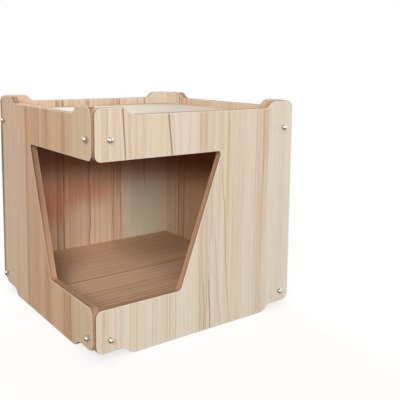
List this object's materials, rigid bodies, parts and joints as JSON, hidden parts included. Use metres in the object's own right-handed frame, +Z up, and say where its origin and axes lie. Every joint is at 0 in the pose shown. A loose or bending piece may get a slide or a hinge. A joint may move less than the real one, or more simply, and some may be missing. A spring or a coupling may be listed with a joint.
{
  "type": "wooden cat house",
  "caption": "Square stackable cat house of bolted laminated boards, with a window cut round its front left corner and raised ears at its corners.",
  "frame": {"origin": "centre of the house's plan, at the height of the low middle edges it stands on", "axes": "+Z up, front wall towards -Y, left wall towards -X"},
  "size_m": [0.4166, 0.4166, 0.385],
  "materials": {
    "front_wall_laminate": "pale ash grain laminate on board, satin, brown cut edges",
    "side_wall_laminate": "pale ash grain laminate on board, satin, brown cut edges",
    "back_wall_laminate": "pale ash grain laminate on board, satin, brown cut edges",
    "floor_laminate": "pale ash grain laminate on board, satin",
    "roof_laminate": "pale ash grain laminate on board, satin",
    "bracket_zinc": "zinc plated pressed sheet steel",
    "bolt_zinc": "zinc plated machine bolt",
    "screw_zinc": "zinc plated wood screw",
    "cap_nut_chrome": "bright plated domed cap nut"
  },
  "bodies": {
    "root": {"front_wall": "front_wall_laminate", "left_wall": "side_wall_laminate", "right_wall": "side_wall_laminate", "back_wall": "back_wall_laminate", "floor_panel": "floor_laminate", "roof_panel": "roof_laminate", "floor_bracket_front_left": "bracket_zinc", "floor_bracket_front_right": "bracket_zinc", "floor_bracket_back_right": "bracket_zinc", "floor_bracket_back_left": "bracket_zinc", "roof_bracket_front_left": "bracket_zinc", "roof_bracket_front_right": "bracket_zinc", "roof_bracket_back_right": "bracket_zinc", "roof_bracket_back_left": "bracket_zinc", "floor_screw_front_left": "screw_zinc", "floor_screw_front_right": "screw_zinc", "floor_screw_back_right": "screw_zinc", "floor_screw_back_left": "screw_zinc", "roof_screw_front_left": "screw_zinc", "roof_screw_front_right": "screw_zinc", "roof_screw_back_right": "screw_zinc", "roof_screw_back_left": "screw_zinc", "front_wall_bolt_bottom_left": "bolt_zinc", "front_wall_bolt_bottom_right": "bolt_zinc", "front_wall_bolt_top_left": "bolt_zinc", "front_wall_bolt_top_right": "bolt_zinc", "right_wall_bolt_bottom_front": "bolt_zinc", "right_wall_bolt_bottom_back": "bolt_zinc", "right_wall_bolt_top_front": "bolt_zinc", "right_wall_bolt_top_back": "bolt_zinc", "back_wall_bolt_bottom_right": "bolt_zinc", "back_wall_bolt_bottom_left": "bolt_zinc", "back_wall_bolt_top_right": "bolt_zinc", "back_wall_bolt_top_left": "bolt_zinc", "left_wall_bolt_bottom_back": "bolt_zinc", "left_wall_bolt_bottom_front": "bolt_zinc", "left_wall_bolt_top_back": "bolt_zinc", "left_wall_bolt_top_front": "bolt_zinc", "front_wall_cap_nut_bottom_left": "cap_nut_chrome", "front_wall_cap_nut_bottom_right": "cap_nut_chrome", "front_wall_cap_nut_top_left": "cap_nut_chrome", "front_wall_cap_nut_top_right": "cap_nut_chrome", "right_wall_cap_nut_bottom_front": "cap_nut_chrome", "right_wall_cap_nut_bottom_back": "cap_nut_chrome", "right_wall_cap_nut_top_front": "cap_nut_chrome", "right_wall_cap_nut_top_back": "cap_nut_chrome", "back_wall_cap_nut_bottom_right": "cap_nut_chrome", "back_wall_cap_nut_bottom_left": "cap_nut_chrome", "back_wall_cap_nut_top_right": "cap_nut_chrome", "back_wall_cap_nut_top_left": "cap_nut_chrome", "left_wall_cap_nut_bottom_back": "cap_nut_chrome", "left_wall_cap_nut_bottom_front": "cap_nut_chrome", "left_wall_cap_nut_top_back": "cap_nut_chrome", "left_wall_cap_nut_top_front": "cap_nut_chrome"}
  },
  "joints": []
}
